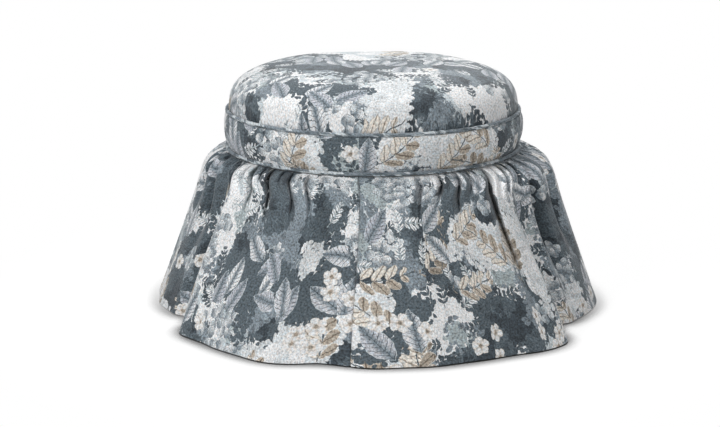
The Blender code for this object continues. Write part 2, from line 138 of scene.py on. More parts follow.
# Tucks in front: angle at the heading, lean lower down, depth, and length as a share of the drop
FRONT_TUCKS = (
    (11.5, 0.0, 0.005, 0.06),
    (15.5, 0.6, 0.036, 0.16),
    (19.6, 0.4, 0.014, 0.07),
    (22.9, 0.0, 0.028, 0.11),
    (26.2, 0.0, 0.013, 0.06),
    (29.6, 0.3, 0.032, 0.18),
    (34.4, 0.5, 0.022, 0.09),
    (37.4, 0.8, 0.016, 0.07),
    (41.6, 1.0, 0.046, 0.42),
    (46.4, 0.5, 0.014, 0.10),
    (50.4, 0.0, 0.018, 0.13),
    (54.0, -0.5, 0.014, 0.09),
    (58.2, -1.0, 0.016, 0.12),
    (64.5, -1.0, 0.040, 0.50),
    (77.0, -3.0, 0.036, 0.36),
    (-12.5, 0.0, 0.005, 0.06),
    (-17.0, 0.3, 0.010, 0.08),
    (-22.3, 0.4, 0.028, 0.14),
    (-25.4, 1.0, 0.010, 0.08),
    (-28.6, 0.5, 0.022, 0.17),
    (-32.6, 1.5, 0.012, 0.09),
    (-37.6, 0.0, 0.024, 0.28),
    (-41.6, 0.0, 0.014, 0.09),
    (-46.0, -0.6, 0.032, 0.16),
    (-50.2, 0.0, 0.014, 0.10),
    (-57.5, -3.0, 0.040, 0.52),
    (-61.5, 0.5, 0.010, 0.07),
    (-71.0, 2.0, 0.036, 0.34),
)
# Tucks behind are drawn at random within these limits, clear of the seams
BACK_TUCKS = (82.0, 284.0)
TUCK_STEP = (3.4, 6.0)
TUCK_DEPTH = (0.010, 0.034)
TUCK_LENGTH = (0.07, 0.12)
TUCK_LEAN = 2.0
DEEP_TUCK = 0.027
DEEP_TUCK_MORE = 0.16
SIDE_SEAM_CLEAR = 3.0
BACK_SEAM_CLEAR = 15.0
BACK_HALF = 40.0
PUCKERS = 160
PUCKER_STRAY = 0.7
PUCKER_DEPTH = (0.001, 0.009)
PUCKER_LENGTH = 0.06

# Lid
COVER_CLOTH = 0.0015
CROWN_HEIGHT = TOP_COVER.high - TOP_COVER.low
CROWN_POWER = 3.3  # 2 is an ellipse; more makes squarer shoulders
CROWN_ROWS = 72
CROWN_EYE = 0.0004  # radius of the hole that the rows leave in the middle
TOP_PUCKER = 0.0010
TOP_SLACK = 0.0012
BAND_FOOT_RADIUS = LOWER_WELT_RADIUS - 0.0020
BAND_TOP_RADIUS = LOWER_WELT_RADIUS + 0.0015
BAND_FOOT_Z = LOWER_WELT.high + FIT
BAND_BULGE = 0.0065
BAND_ROWS = 26
BAND_PUCKER = 0.0008
BAND_SLACK = 0.0008
BAND_SEAM_DEPTH = 0.0016
BAND_SEAM_WIDTH = 0.0021
TURN_UNDER_RADII = (0.2410, 0.2560, 0.2690)
BAND_EDGE = (0.2699, BAND_COVER.low + 0.0030)
BAND_TUCKED_IN = (0.2692, BAND_COVER.high + 0.0008)
WELT_WAVE = 0.0002

# Linings
UNDERLINING_CLOTH = 0.0007
RIM_CLOTH = 0.0004
DRUM_COVER_CLOTH = 0.0008
DUST_CLOTH = 0.0004
LINING_PULL = 0.00015
RIM_CLOTH_Z = RIM.high + 0.0007
RIM_CLOTH_RADII = (0.262, 0.250, 0.238, 0.2262)
RIM_CLOTH_DROPS = (0.007, 0.013, 0.0185)
RIM_CLOTH_WAVE = 0.0002
MOUTH_ALLOWANCE = 0.0014  # clears the flats of the rim ring, which is a polygon
DRUM_COVER_WAVE = 0.0006

# Where along the cloth each skirt panel, the top panel's middle and the band's front are cut
# The skirt panels are cut where darker cloth falls on the lobes behind the front lobe's edges, as painted
# shade there, and the top panel where paler cloth lifts the crown's dark parts, as painted sheen.
PANEL_CUTS = (6.21, 1.90, 0.0, 12.54)
TOP_CUT = (8.91, 2.38)
BAND_CUT = (1.48, 0.30)

# Studio: each lamp's name, place, size and power
LAMPS = (
    ("key_light", (-1.5, -1.5, 1.8), 0.8, 33.0),
    ("top_light", (0.1, 0.2, 2.3), 1.4, 27.0),
    ("fill_light", (1.4, -2.2, 1.2), 1.2, 12.0),
    ("back_light", (0.5, 2.4, 1.4), 1.4, 18.0),
)
LAMPS_AIM = Vector((0, 0, 0.25))
FLOOR_HALF = 8.0
WHITE = (1.0, 1.0, 1.0, 1.0)
AMBIENT = 0.10
CAMERA_PLACE = (0.0, -2.85, 0.879)
CAMERA_DOWN = 14.21
CAMERA_TURN = 0.49
CAMERA_LENS = 77.1
CAMERA_SENSOR = 36.0


# Meshes


def polar(radius, angle, z):
    """Points at these radii, angles and heights, as one array."""
    turn = np.radians(angle)
    return np.stack(np.broadcast_arrays(radius * np.sin(turn), -radius * np.cos(turn), z), axis=-1)


def all_round(columns):
    """Angles of that many columns round the drum, as one row."""
    return np.arange(columns)[None, :] * (360 / columns)


def away(angle, middle):
    """Degrees from middle to angle, the short way round."""
    return (angle - middle + 180) % 360 - 180


def from_seam(angle):
    """Degrees to the nearest seam."""
    return abs((angle - SEAM_ANGLE + PANEL_ARC / 2) % PANEL_ARC - PANEL_ARC / 2)


def smooth_step(value):
    value = np.clip(value, 0, 1)
    return value * value * (3 - 2 * value)


def bell(value, width):
    """1 where value is 0, falling away on both sides."""
    return np.exp(-((value / width) ** 2))


def hump(share, rise, fall, fade):
    """0 at the heading, 1 from rise to fall, and 0 again a fade later."""
    return smooth_step(share / rise) * (1 - smooth_step((share - fall) / fade))


def ripple(angle, seed, low, high, count=8):
    """A seamless random wave round the drum, of about unit height, from waves of low to high cycles."""
    rng = np.random.default_rng(seed)
    cycles = rng.integers(low, high + 1, count)
    phases = rng.uniform(0, math.tau, count)
    turn = np.radians(angle)
    return sum(np.sin(c * turn + p) for c, p in zip(cycles, phases)) / math.sqrt(count / 2)


def length_along(points):
    """Distance along rows of points, from the first."""
    steps = np.linalg.norm(np.diff(points, axis=0), axis=-1)
    return np.concatenate([np.zeros_like(steps[:1]), np.cumsum(steps, axis=0)])


def cloth_map(across, along):
    """The cloth's own coordinates at each point of a grid."""
    return np.stack(np.broadcast_arrays(across, along), axis=-1)


def grid_piece(name, points, cloth, closed=None):
    """A mesh over rows and columns of points, with the cloth's own coordinates in metres as its UV map.

    closed joins the last column to the first, and is how far the cloth has run by then.
    """
    rows, columns = points.shape[:2]
    row, column = np.meshgrid(np.arange(rows - 1), np.arange(columns - (closed is None)), indexing="ij")
    down = np.stack([row, row, row + 1, row + 1], axis=-1).reshape(-1, 4)
    across = np.stack([column, column + 1, column + 1, column], axis=-1).reshape(-1, 4)
    if closed is not None:
        cloth = np.concatenate([cloth, cloth[:, :1] + np.array([closed, 0.0])], axis=1)
    mesh = bpy.data.meshes.new(name)
    mesh.from_pydata(points.reshape(-1, 3).tolist(), [], (down * columns + across % columns).tolist())
    layer = mesh.uv_layers.new(name="cloth")
    layer.data.foreach_set("uv", cloth[down, across].astype(np.float32).ravel())
    mesh.shade_smooth()
    piece = bpy.data.objects.new(name, mesh)
    bpy.context.scene.collection.objects.link(piece)
    return piece


def thicken(piece, thickness):
    """Gives a sheet its thickness, inwards, with its second material on the inner side."""
    shell = piece.modifiers.new("thickness", "SOLIDIFY")
    shell.thickness = thickness
    shell.offset = -1
    shell.material_offset = 1


def dress(piece, body, node, slot, *materials):
    """Puts a piece on its body in place of a CAD node, with its materials."""
    for material in materials:
        piece.data.materials.append(material)
    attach(piece, body)
    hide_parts(node)


# Skirt


def gathering():
    """The tucks that show in front, and others like them round the rest of the heading."""
    rng = np.random.default_rng(11)
    tucks = list(FRONT_TUCKS)
    angle, last = BACK_TUCKS
    while angle < last:
        clear = BACK_SEAM_CLEAR if abs(away(angle, 180)) < BACK_HALF else SIDE_SEAM_CLEAR
        if from_seam(angle) > clear:
            deep = rng.uniform(*TUCK_DEPTH)
            length = rng.uniform(*TUCK_LENGTH) + DEEP_TUCK_MORE * (deep > DEEP_TUCK)
            tucks.append((angle, rng.uniform(-TUCK_LEAN, TUCK_LEAN), deep, length))
        angle += rng.uniform(*TUCK_STEP)
    return sorted((angle % 360, *rest) for angle, *rest in tucks)


def puckers():
    """Small tucks right at the heading, all round."""
    rng = np.random.default_rng(12)
    angles = np.arange(PUCKERS) * (360 / PUCKERS) + rng.uniform(-PUCKER_STRAY, PUCKER_STRAY, PUCKERS)
    depths = rng.uniform(*PUCKER_DEPTH, PUCKERS)
    return [(angle, 0.0, deep, PUCKER_LENGTH) for angle, deep in zip(np.sort(angles % 360), depths)]


def fullness(angle):
    """How gathered the heading is, from its flat stretches at the front and back to the full sides."""
    edge = np.minimum(np.abs(away(angle, FLAT_MIDDLE)), np.abs(away(angle, FLAT_MIDDLE + 180)))
    uneven = sum(more * bell(away(angle, middle), width) for middle, width, more in UNEVEN_FULLNESS)
    return FLAT_SHOULDER + (1 - FLAT_SHOULDER) * smooth_step((edge - FLAT_HALF) / FLAT_EDGE) + uneven


def hem_depth(angle):
    """How far the hem's folds lie behind its even outline."""
    depth = np.zeros_like(angle)
    for middle, deep, before, after in HEM_FOLDS:
        gap = away(angle, middle)
        depth = depth + deep * bell(gap, np.where(gap < 0, before, after))
    return depth


def drawn_in(angle, share, tucks):
    """How far tucks draw the cloth in: puffs meet in them, sharply at the heading and softly lower down."""
    middles, _, deep, length = np.array(tucks).T
    place = angle % 360
    after = np.searchsorted(middles, place) % len(middles)
    before = after - 1
    to_before, to_after = (place - middles[before]) % 360, (middles[after] - place) % 360
    half = np.minimum((to_before + to_after) / 2, WIDEST_PUFF / 2)
    nearest = np.where(to_before < to_after, before, after)
    deep, length = deep[nearest], length[nearest]
    gap = np.minimum(to_before, to_after)
    near = np.clip(1 - gap / half, 0, 1)
    lower = share / length
    sharp = 1 - np.sqrt(1 - near**PUFF_ROUND)
    puffs = (sharp + (smooth_step(near) - sharp) * smooth_step(lower / TUCK_SOFTENS)) * bell(lower, 1)
    slit = np.exp(-((gap / SLIT) ** 2) - (share / np.minimum(length, SLIT_REACH)) ** 3)
    narrow = SLIT_SHARE * smooth_step((deep - SLIT_FROM) / SLIT_OVER) * (length < LONG_FOLD)
    return deep * (puffs * (1 - narrow) + SLIT_DEPTH * slit * narrow)


def lean_of(angle, share, tucks):
    """Degrees that the cloth leans: the gathers hang upright and then fan out, and some folds swing."""
    upright = -UPRIGHT * np.sin(np.radians(2 * angle)) * hump(share, rise=0.14, fall=0.2, fade=0.7)
    swing = np.interp(angle % 360, [t[0] for t in tucks], [t[1] for t in tucks], period=360)
    return upright + swing * hump(share, rise=0.3, fall=0.4, fade=0.5)


def skirt_place(angle, share, tucks, small):
    """Radius of the cloth's outer face, that share of the way to the hem, and the angle it lies at."""
    opened = 1 - np.exp(-share / SHOULDER_OPENS)
    full = fullness(angle)
    shoulder = SHOULDER * full * opened * (1 - share)
    envelope = HEM_RADIUS - HEM_SIDE_DRAW * np.sin(np.radians(angle)) ** 2
    flare = (envelope - HEADING_RADIUS) * share
    radius = HEADING_RADIUS + flare + shoulder - hem_depth(angle) * share**FOLD_RISE
    radius = radius + PUFF * opened * full * bell(share, PUFF_REACH)
    room = (shoulder + flare) * TUCK_ROOM
    draw = TUCK * drawn_in(angle, share, tucks) + np.minimum(full, 1) * drawn_in(angle, share, small)
    draw = room * np.tanh(draw / (room + 1e-6))
    soft = SOFT_WAVE * ripple(angle, seed=3, low=14, high=30) * smooth_step(share / 0.15) * (1 - 0.4 * share)
    slant = SLANT * np.sin(np.radians(2 * angle)) * draw
    return radius - draw + soft, angle + lean_of(angle, share, tucks) + slant


def panel_columns(start, tucks, small):
    """Angles of a panel's columns, closest in its tucks and folds, and how far the cloth has run at each."""
    fine = np.linspace(start, start + PANEL_ARC, 12 * SKIRT_COLUMNS)
    runs = []
    for share in CLOTH_LEVELS:
        radius, lies = skirt_place(fine, np.full_like(fine, share), tucks, small)
        run = length_along(polar(radius, lies, 0.0))
        runs.append(run / run[-1])
    at_heading, *_, at_hem = runs
    crowd = 0.65 * at_heading + 0.35 * at_hem
    angle = np.interp(np.linspace(0, 1, SKIRT_COLUMNS), crowd, fine)
    cloth = sum(runs) / len(runs) * CUT_WIDTH
    return angle, np.interp(angle, fine, cloth)


def panel_rows():
    """Shares of the drop for a panel's rows, closer together at the heading and in the hem."""
    fine = np.linspace(0, 1, 20 * SKIRT_ROWS)
    at_heading = 3 * np.exp(-fine / 0.12)
    in_hem = 5 * smooth_step((fine - 0.93) / 0.02)
    crowd = np.cumsum(1 + at_heading + in_hem)
    return np.interp(np.linspace(0, 1, SKIRT_ROWS), (crowd - crowd[0]) / (crowd[-1] - crowd[0]), fine)


def skirt_panel(number, tucks, small):
    start = SEAM_ANGLE + (number - 1) * PANEL_ARC
    columns, across = panel_columns(start, tucks, small)
    drop, angle = np.meshgrid(panel_rows(), columns, indexing="ij")
    z = SKIRT_TOP_Z + (HEM_Z - SKIRT_TOP_Z) * drop
    radius, lies = skirt_place(angle, drop, tucks, small)
    to_seam = np.radians(np.minimum(angle - start, start + PANEL_ARC - angle)) * radius
    radius = radius - SEAM_DEPTH * bell(to_seam, SEAM_WIDTH) * smooth_step(drop / 0.02)
    above_hem = z - HEM_Z
    radius = radius + HEM_STEP * smooth_step((HEM_DEPTH - above_hem) / 0.002)
    radius = radius - HEM_STEP * bell(above_hem - HEM_DEPTH, 0.0014)
    points = polar(radius, lies, z)
    down = length_along(points).mean(axis=1)[:, None]
    cloth = cloth_map(across + PANEL_CUTS[number - 1], -down)
    return grid_piece(f"skirt_{number}", points[:, ::-1], cloth[:, ::-1])


def make_skirt(weave, lining):
    tucks, small = gathering(), puckers()
    for number in range(1, PANELS + 1):
        panel = skirt_panel(number, tucks, small)
        thicken(panel, SKIRT_CLOTH)
        dress(panel, "base", f"skirt_panel_{number}", "tapestry", weave, lining)


# Lid


def crown_line():
    """The cushion's rounded top, from the upper welt to the middle: radii, heights and run, as columns."""
    turn = np.linspace(0, math.pi / 2, 400)
    across = np.maximum(np.cos(turn), 0) ** (2 / CROWN_POWER)
    up = np.sin(turn) ** (2 / CROWN_POWER)
    line = np.stack([TOP_COVER.outer * across, TOP_COVER.low + CROWN_HEIGHT * up], axis=1)
    run = length_along(line)
    even = np.linspace(0, run[-1], CROWN_ROWS)
    radius = np.interp(even, run, line[:, 0])
    radius[-1] = CROWN_EYE
    return radius[:, None], np.interp(even, run, line[:, 1])[:, None], even[:, None]


def make_top_panel(weave):
    radius, z, run = crown_line()
    angle = all_round(360)
    pucker = TOP_PUCKER * ripple(angle, seed=5, low=40, high=90) * bell(run, 0.022) * smooth_step(run / 0.004)
    slack = TOP_SLACK * ripple(angle, seed=6, low=2, high=6)
    slack = slack * smooth_step(run / 0.05) * smooth_step(radius / 0.12)
    points = polar(radius + pucker + slack, angle, z + 0.4 * slack)
    rise = (z - TOP_COVER.low) / CROWN_HEIGHT
    cloth = points[..., :2] * (1 + 0.2 * (1 - rise))[..., None] + np.array(TOP_CUT)
    panel = grid_piece("top_panel", points, cloth, closed=0.0)
    thicken(panel, COVER_CLOTH)
    dress(panel, "lid", "top_cover", "tapestry", weave, weave)


def band_line():
    """The band's section: turned under the board, up its bulging side, and tucked in at the upper welt."""
    up = np.linspace(0, 1, BAND_ROWS)
    side = BAND_FOOT_RADIUS + (BAND_TOP_RADIUS - BAND_FOOT_RADIUS) * up + BAND_BULGE * 4 * up * (1 - up)
    height = BAND_FOOT_Z + (BAND_COVER.high - BAND_FOOT_Z) * up
    turn_under = [(radius, BAND_COVER.low + FIT) for radius in TURN_UNDER_RADII]
    return np.array([*turn_under, BAND_EDGE, *zip(side, height), BAND_TUCKED_IN])


def make_band(weave):
    angle = SEAM_ANGLE + all_round(720)
    line = band_line()
    radius, z = line[:, :1], line[:, 1:]
    height = np.clip((z - BAND_FOOT_Z) / (BAND_COVER.high - BAND_FOOT_Z), 0, 1)
    free = 4 * height * (1 - height)
    pucker = BAND_PUCKER * ripple(angle, seed=8, low=35, high=80) * free
    pucker = pucker * bell(np.minimum(height, 1 - height), 0.25)
    slack = BAND_SLACK * ripple(angle, seed=9, low=3, high=9) * free
    to_seam = np.radians(from_seam(angle)) * BAND_TOP_RADIUS
    seam = BAND_SEAM_DEPTH * bell(to_seam, BAND_SEAM_WIDTH) * smooth_step(free * 4)
    points = polar(radius + pucker + slack - seam, angle, z)
    across = np.radians(angle) * BAND_TOP_RADIUS + BAND_CUT[0]
    cloth = cloth_map(across, length_along(line)[:, None] + BAND_CUT[1])
    band = grid_piece("band", points, cloth, closed=math.tau * BAND_TOP_RADIUS)
    thicken(band, COVER_CLOTH)
    dress(band, "lid", "band_cover", "tapestry", weave, weave)


def make_welt(name, welt, seed, weave):
    radius = (welt.inner + welt.outer) / 2
    z = (welt.low + welt.high) / 2
    angle = all_round(720)
    turn = np.linspace(0, math.tau, 15)[:, None]
    size = WELT_RADIUS + WELT_WAVE * ripple(angle, seed, low=30, high=120)
    points = polar(radius + size * np.cos(turn), angle, z + size * np.sin(turn))
    across = np.radians(angle) * radius + turn * WELT_RADIUS + 0.31 * seed
    cloth = cloth_map(across, turn * WELT_RADIUS + 0.9)
    cord = grid_piece(f"{name}_cord", points, cloth, closed=math.tau * radius)
    dress(cord, "lid", name, "welt", weave)


def make_lid(weave, welting, lining):
    make_top_panel(weave)
    make_band(weave)
    make_welt("upper_welt", UPPER_WELT, 21, welting)
    make_welt("lower_welt", LOWER_WELT, 22, welting)
    under = lining_disc("underlining", UNDERLINING.outer - 0.0004, UNDERLINING.low + 0.0002, 31)
    thicken(under, UNDERLINING_CLOTH)
    dress(under, "lid", "lid_underlining", "lining", lining, lining)


# Linings


def lining_disc(name, radius, z, seed):
    """A round of lining stretched flat, seen from below, with faint pulls at its edge."""
    angle = all_round(240)
    across = np.linspace(radius, 0.0005, 40)[:, None]
    pull = LINING_PULL * ripple(angle, seed, low=20, high=60) * smooth_step((across / radius - 0.7) / 0.3)
    points = polar(across, angle, z + LINING_PULL + pull)
    return grid_piece(name, points[:, ::-1], points[:, ::-1, :2], closed=0.0)


def make_rim_cloth(lining):
    """Lining over the drum's rim, from the skirt's heading into the mouth."""
    angle = all_round(480)
    top = RIM_CLOTH_Z
    inside = RIM.inner - MOUTH_ALLOWANCE
    line = [(TACKING_RADIUS, top - 0.0003)] + [(radius, top) for radius in RIM_CLOTH_RADII]
    line += [(inside + 0.0012, top), (inside + 0.0004, top - 0.0003), (inside, top - 0.0012)]
    line += [(inside, top - drop) for drop in RIM_CLOTH_DROPS]
    line = np.array(line)
    radius, z = line[:, :1], line[:, 1:]
    wave = np.abs(RIM_CLOTH_WAVE * ripple(angle, seed=33, low=25, high=70))
    free = smooth_step((radius - 0.2236) / 0.02) * smooth_step((0.2690 - radius) / 0.006)
    points = polar(radius, angle, z - wave * free)
    middle = (RIM.inner + RIM.outer) / 2
    cloth = cloth_map(np.radians(angle) * middle, length_along(line)[:, None])
    rim_cloth = grid_piece("rim_cloth", points, cloth, closed=math.tau * middle)
    thicken(rim_cloth, RIM_CLOTH)
    dress(rim_cloth, "base", "rim_lining", "lining", lining, lining)


def make_under_cover(lining):
    """The plain cloth round the drum, behind the skirt."""
    angle = all_round(360)
    radius, foot = UNDER_COVER.outer, UNDER_COVER.low
    z = np.linspace(foot, RIM.high, 30)[:, None]
    free = smooth_step((z - foot) / 0.05) * smooth_step((RIM.high - 0.014 - z) / 0.05)
    points = polar(radius + DRUM_COVER_WAVE * ripple(angle, seed=35, low=8, high=30) * free, angle, z)
    cloth = cloth_map(np.radians(angle) * radius, z)
    cover = grid_piece("drum_cover", points, cloth, closed=math.tau * radius)
    thicken(cover, DRUM_COVER_CLOTH)
    dress(cover, "base", "under_cover", "lining", lining, lining)


def make_dust_cloth(dust):
    under = lining_disc("dust_cloth", DUST_COVER.outer, DUST_COVER.low, 37)
    thicken(under, DUST_CLOTH)
    dress(under, "base", "dust_cover", "dust_cloth", dust, dust)


# Materials


class Value:
    """A shader socket that takes part in Python arithmetic: each operator adds a Math node."""

    def __init__(self, paint, socket):
        self.paint = paint
        self.socket = socket

    def math(self, operation, *values):
        return self.paint.node("ShaderNodeMath", {"operation": operation}, dict(enumerate(values)))

    def __add__(self, other):
        return self.math("ADD", self, other)

    def __radd__(self, other):
        return self.math("ADD", other, self)

    def __sub__(self, other):
        return self.math("SUBTRACT", self, other)

    def __rsub__(self, other):
        return self.math("SUBTRACT", other, self)

    def __mul__(self, other):
        return self.math("MULTIPLY", self, other)

    def __rmul__(self, other):
        return self.math("MULTIPLY", other, self)

    def __truediv__(self, other):
        return self.math("DIVIDE", self, other)

    def __rtruediv__(self, other):
        return self.math("DIVIDE", other, self)

    def __pow__(self, other):
        return self.math("POWER", self, other)

    def __abs__(self):
        return self.math("ABSOLUTE", self)

    def __gt__(self, other):
        return self.math("GREATER_THAN", self, other)

    def __lt__(self, other):
        return self.math("LESS_THAN", self, other)

    def at_least(self, other):
        return self.math("MAXIMUM", self, other)

    def at_most(self, other):
        return self.math("MINIMUM", self, other)

    def sine(self):
        return self.math("SINE", self)

    def cosine(self):
        return self.math("COSINE", self)

    def fraction(self):
        return self.math("FRACT", self)

    def turn_from(self, other):
        """The angle whose tangent is this value over the other."""
        return self.math("ARCTAN2", self, other)


class Paint:
    """Builds the nodes of one material or of the world."""

    def __init__(self, owner):
        owner.use_nodes = True
        self.owner = owner
        self.tree = owner.node_tree

    def node(self, kind, settings=None, sockets=None, out=0):
        """Adds a node: its settings first, then its sockets' values or links. Gives the outputs asked for."""
        made = self.tree.nodes.new(kind)
        for key, value in (settings or {}).items():
            setattr(made, key, value)
        for key, value in (sockets or {}).items():
            self.feed(made.inputs[key], value)
        if isinstance(out, tuple):
            return tuple(Value(self, made.outputs[name]) for name in out)
        return Value(self, made.outputs[out])

    def feed(self, socket, value):
        if isinstance(value, Value):
            self.tree.links.new(value.socket, socket)
        else:
            socket.default_value = value

    def surface(self, **sockets):
        """Feeds the Principled shader's sockets, named in lower case with _ for spaces."""
        shader = self.tree.nodes["Principled BSDF"]
        names = {socket.name.lower().replace(" ", "_"): socket for socket in shader.inputs}
        for key, value in sockets.items():
            self.feed(names[key], value)
        return self.owner

    def bump(self, height, distance, strength):
        sockets = {"Strength": strength, "Distance": distance, "Height": height}
        return self.node("ShaderNodeBump", None, sockets)

    def cloth(self):
        """The cloth's own coordinates in metres."""
        return self.node("ShaderNodeUVMap", {"uv_map": "cloth"})

    def solid(self):
        """A CAD node's own coordinates in metres."""
        return self.node("ShaderNodeTexCoord", None, None, "Object")

    def vector(self, operation, *values):
        return self.node("ShaderNodeVectorMath", {"operation": operation}, dict(enumerate(values)))

    def moved(self, vector, x, y):
        return self.vector("ADD", vector, (x, y, 0.0))

    def stretched(self, vector, x, y, z=1.0):
        return self.vector("MULTIPLY", vector, (x, y, z))

    def parts(self, vector):
        return self.node("ShaderNodeSeparateXYZ", None, {0: vector}, ("X", "Y", "Z"))

    def joined(self, x, y, z=0.0):
        return self.node("ShaderNodeCombineXYZ", None, {0: x, 1: y, 2: z})

    def noise(self, vector, size, detail=2.0, rough=0.5, dimensions="2D", out=0):
        sockets = {"Vector": vector, "Scale": 1 / size, "Detail": detail, "Roughness": rough}
        return self.node("ShaderNodeTexNoise", {"noise_dimensions": dimensions}, sockets, out)

    def cells(self, vector, size, out="Distance", jitter=1.0, dimensions="2D"):
        sockets = {"Vector": vector, "Scale": 1 / size, "Randomness": jitter}
        return self.node("ShaderNodeTexVoronoi", {"voronoi_dimensions": dimensions}, sockets, out)

    def step(self, value, low, high):
        """0 below low, 1 above high, smooth between."""
        sockets = {0: value, 1: low, 2: high}
        return self.node("ShaderNodeMapRange", {"interpolation_type": "SMOOTHSTEP"}, sockets)

    def mix(self, share, first, second):
        return self.node("ShaderNodeMix", {"data_type": "RGBA"}, {0: share, 6: first, 7: second}, 2)

    def after(self, colour, vector):
        """The same coordinates, worked out after colour, so that Cycles holds few values at a time."""
        return self.vector("MULTIPLY_ADD", colour, (1e-7, 1e-7, 1e-7), vector)

    def grain(self, size, detail, rough, stretch=(1.0, 1.0, 1.0)):
        """Noise through a CAD node, drawn out along the axes whose stretch is less than 1."""
        return self.noise(self.stretched(self.solid(), *stretch), size, detail, rough, "3D")

    def two_tone(self, value, first, second, low=0.35, high=0.65):
        """The first hex colour where value is low, and the second where it is high."""
        return self.mix(self.step(value, low, high), srgb(first), srgb(second))

    def shade(self, colour, factor):
        """A colour made lighter or darker by a factor that varies."""
        return self.vector("MULTIPLY", colour, self.joined(factor, factor, factor))


def new_paint(name):
    return Paint(bpy.data.materials.new(name))


def srgb(text):
    """A hex colour as linear red, green, blue and alpha."""
    values = [int(text[i : i + 2], 16) / 255 for i in (0, 2, 4)]
    return tuple(v / 12.92 if v <= 0.04045 else ((v + 0.055) / 1.055) ** 2.4 for v in values) + (1.0,)


# Tapestry cloth

SKY = srgb("f2f3f4")
MIST = srgb("cfd7db")
MINT = srgb("aeb9bc")
HAZE = srgb("87929a")
SLATE = srgb("58636a")
DEEP = srgb("3f484f")
CREAM = srgb("ece6dd")
BEIGE = srgb("c9beb0")
TAN = srgb("9c9285")
UMBER = srgb("776d61")
LILAC = srgb("bcc0c9")
STEM_HALF = 0.0009
RIB_HALF = 0.0007
VEIN_PITCH = 0.0085
EDGE_BLUR = 0.0007


def scatter(paint, cloth, cell, seed, turn, spread, jitter=0.7):
    """Cuts the cloth into cells, each with a direction of its own.

    Gives a point's place along and across that, a random number of its cell, and the cell's centre.
    """
    moved = paint.moved(cloth, seed * 0.731, seed * 1.193)
    centre, chance = paint.cells(moved, cell, ("Position", "Color"), jitter)
    x, y, _ = paint.parts(paint.vector("SUBTRACT", moved, centre))
    first, second, _ = paint.parts(chance)
    angle = first * spread + (turn - spread / 2)
    cos, sin = angle.cosine(), angle.sine()
    return x * cos + y * sin, y * cos - x * sin, second, paint.moved(centre, -seed * 0.731, -seed * 1.193)


def patch(paint, place, size, seed):
    """A number that drifts over the cloth. Foliage and the motifs on it share one by its seed."""
    return paint.noise(paint.moved(place, seed * 1.37, seed * 2.11), size, 1.0)


def chosen(paint, centre, size, seed, level):
    """1 in the cells whose centre lies in a patch of the cloth, so that each motif is whole."""
    return patch(paint, centre, size, seed) > level


def foliage(paint, cloth, size, leaf, seed, level):
    """Mask of a mass of foliage, scalloped with small round leaves. A lower level covers more."""
    mask = paint.step(patch(paint, cloth, size, seed), level + 0.040, level + 0.043)
    for layer in (3, 4):
        along, across, chance, centre = scatter(paint, cloth, leaf, seed + layer, 1.5, 3.0, 0.85)
        far = (along * along + across * across * 1.7) ** 0.5
        depth = leaf * (0.42 + 0.22 * chance) - far
        mask = mask.at_least(paint.step(depth, 0.0, 0.0006) * chosen(paint, centre, size, seed, level))
    return mask


def frond(along, across, length, pitch, leaf_length, leaf_width, lean, bend):
    """A bent stem with pairs of leaflets: depth in a leaflet, distance from its rib, and the stem's mask."""
    across = across - along * along * bend
    side = abs(across)
    slope = math.radians(lean)
    lane = (along - side * (1 / math.tan(slope))) * (1 / pitch)
    over = abs(lane.fraction() - 0.5) * (pitch * math.sin(slope))
    end = along * (2 / length)
    size = (1 - end * end).at_least(0.0)
    place = side * (1 / math.sin(slope)) / (size * leaf_length + 0.0001)
    swell = (place * (1 - place) * 4).at_least(0.0) ** 0.6
    depth = swell * size * leaf_width - over
    return depth, over, (side < STEM_HALF) * (size > 0.02)


def broad_leaf(along, across, length, width):
    """A pointed leaf: depth inside it, and the mask of its midrib and side veins."""
    end = along * (2 / length)
    side = abs(across)
    depth = (1 - end * end) * (1 - 0.25 * end) * width - side
    veins = ((side * 0.8 - along) * (1 / VEIN_PITCH)).fraction() < 0.15
    return depth, ((side < RIB_HALF) + veins).at_most(1.0)


def blossom(along, across, size):
    """A round flower of five petals: depth inside it, distance from its middle, and 1 along each petal."""
    far = (along * along + across * across) ** 0.5
    petals = abs((across.turn_from(along) * 2.5).cosine())
    return petals**0.5 * (0.4 * size) + 0.6 * size - far, far, petals


def laid(paint, below, depth, present, colour, edge, edge_width):
    """Paints a motif with an edge line over what is below it."""
    inside = paint.step(depth, 0.0, EDGE_BLUR) * present
    line = 1 - paint.step(depth, edge_width * 0.7, edge_width * 1.3)
    return paint.mix(inside, below, paint.mix(line, colour, edge))


